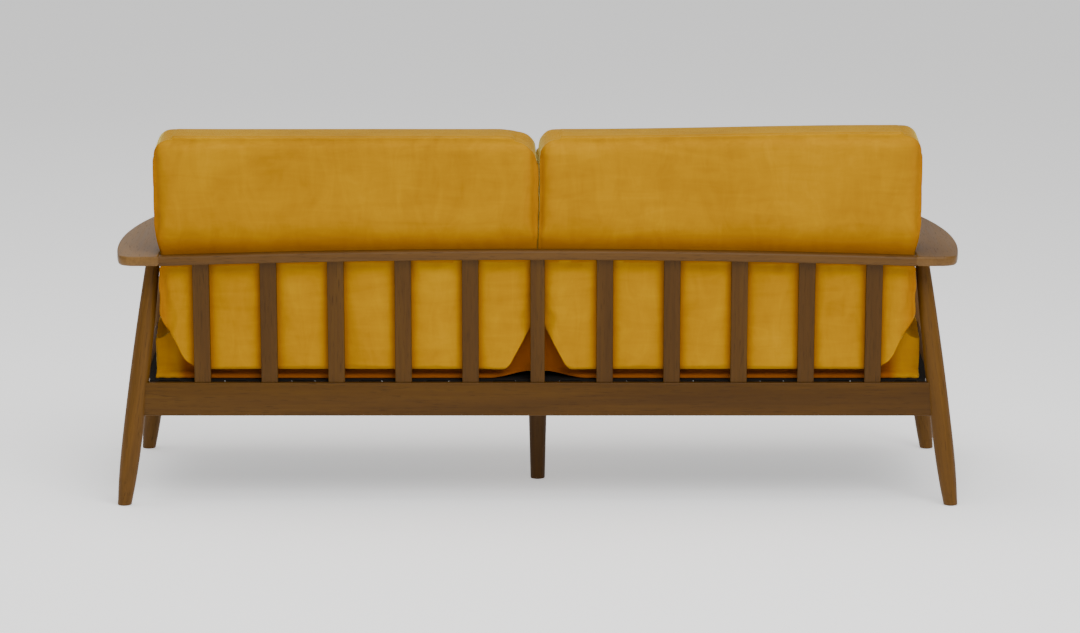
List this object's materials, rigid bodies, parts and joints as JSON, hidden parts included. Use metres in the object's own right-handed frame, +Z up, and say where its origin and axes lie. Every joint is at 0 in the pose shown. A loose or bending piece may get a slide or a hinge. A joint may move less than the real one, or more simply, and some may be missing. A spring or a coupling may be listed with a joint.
{
  "type": "sofa with wooden legs",
  "caption": "Long timber sofa with an open slatted back, flat paddle arms, turned splayed legs and loose velvet seat and back cushions.",
  "frame": {"origin": "on the floor, under the middle of the sofa's bounding box", "axes": "+X to the right of someone who stands in front and looks at the seat, +Y to the rear, +Z up; the seat faces -Y"},
  "size_m": [1.8916, 0.7824, 0.8433],
  "materials": {
    "walnut": "satin",
    "beech": "matte",
    "zinc_steel": "satin",
    "black_steel": "satin",
    "glide_nylon": "matte",
    "webbing": "matte",
    "deck_cloth": "matte",
    "velvet": "matte",
    "foam": "matte",
    "zip": "satin"
  },
  "bodies": {
    "frame": {"rear_leg_left": "walnut", "rear_leg_right": "walnut", "front_leg_left": "walnut", "front_leg_right": "walnut", "centre_leg": "walnut", "centre_leg_plate": "zinc_steel", "centre_leg_bolt": "zinc_steel", "foot_glides": "glide_nylon", "arm_left": "walnut", "arm_right": "walnut", "crest_rail": "walnut", "crest_dowels": "beech", "rear_seat_rail": "walnut", "front_seat_rail": "walnut", "side_rail_left": "walnut", "side_rail_right": "walnut", "rail_dowels": "beech", "centre_bearer": "beech", "corner_blocks": "beech", "corner_block_screws": "zinc_steel", "back_slat_1": "walnut", "back_slat_2": "walnut", "back_slat_3": "walnut", "back_slat_4": "walnut", "back_slat_5": "walnut", "back_slat_6": "walnut", "back_slat_7": "walnut", "back_slat_8": "walnut", "back_slat_9": "walnut", "back_slat_10": "walnut", "back_slat_11": "walnut", "seat_webbing": "webbing", "webbing_clips": "black_steel", "deck_cloth": "deck_cloth"},
    "left_seat_cushion": {"seat_cushion_left": "velvet", "seat_foam_left": "foam", "seat_zip_left": "zip"},
    "right_seat_cushion": {"seat_cushion_right": "velvet", "seat_foam_right": "foam", "seat_zip_right": "zip"},
    "left_back_cushion": {"back_cushion_left": "velvet", "back_foam_left": "foam", "back_zip_left": "zip"},
    "right_back_cushion": {"back_cushion_right": "velvet", "back_foam_right": "foam", "back_zip_right": "zip"}
  },
  "joints": [
    {"name": "left_seat_cushion_slide", "type": "slide", "parent": "frame", "child": "left_seat_cushion", "axis": [0, -0.9986, 0.0523], "range_m": [0, 0.72]},
    {"name": "right_seat_cushion_slide", "type": "slide", "parent": "frame", "child": "right_seat_cushion", "axis": [0, -0.9986, 0.0523], "range_m": [0, 0.72]},
    {"name": "left_back_cushion_lift", "type": "slide", "parent": "frame", "child": "left_back_cushion", "axis": [0, 0, 1], "range_m": [0, 0.6]},
    {"name": "right_back_cushion_lift", "type": "slide", "parent": "frame", "child": "right_back_cushion", "axis": [0, 0, 1], "range_m": [0, 0.6]}
  ]
}
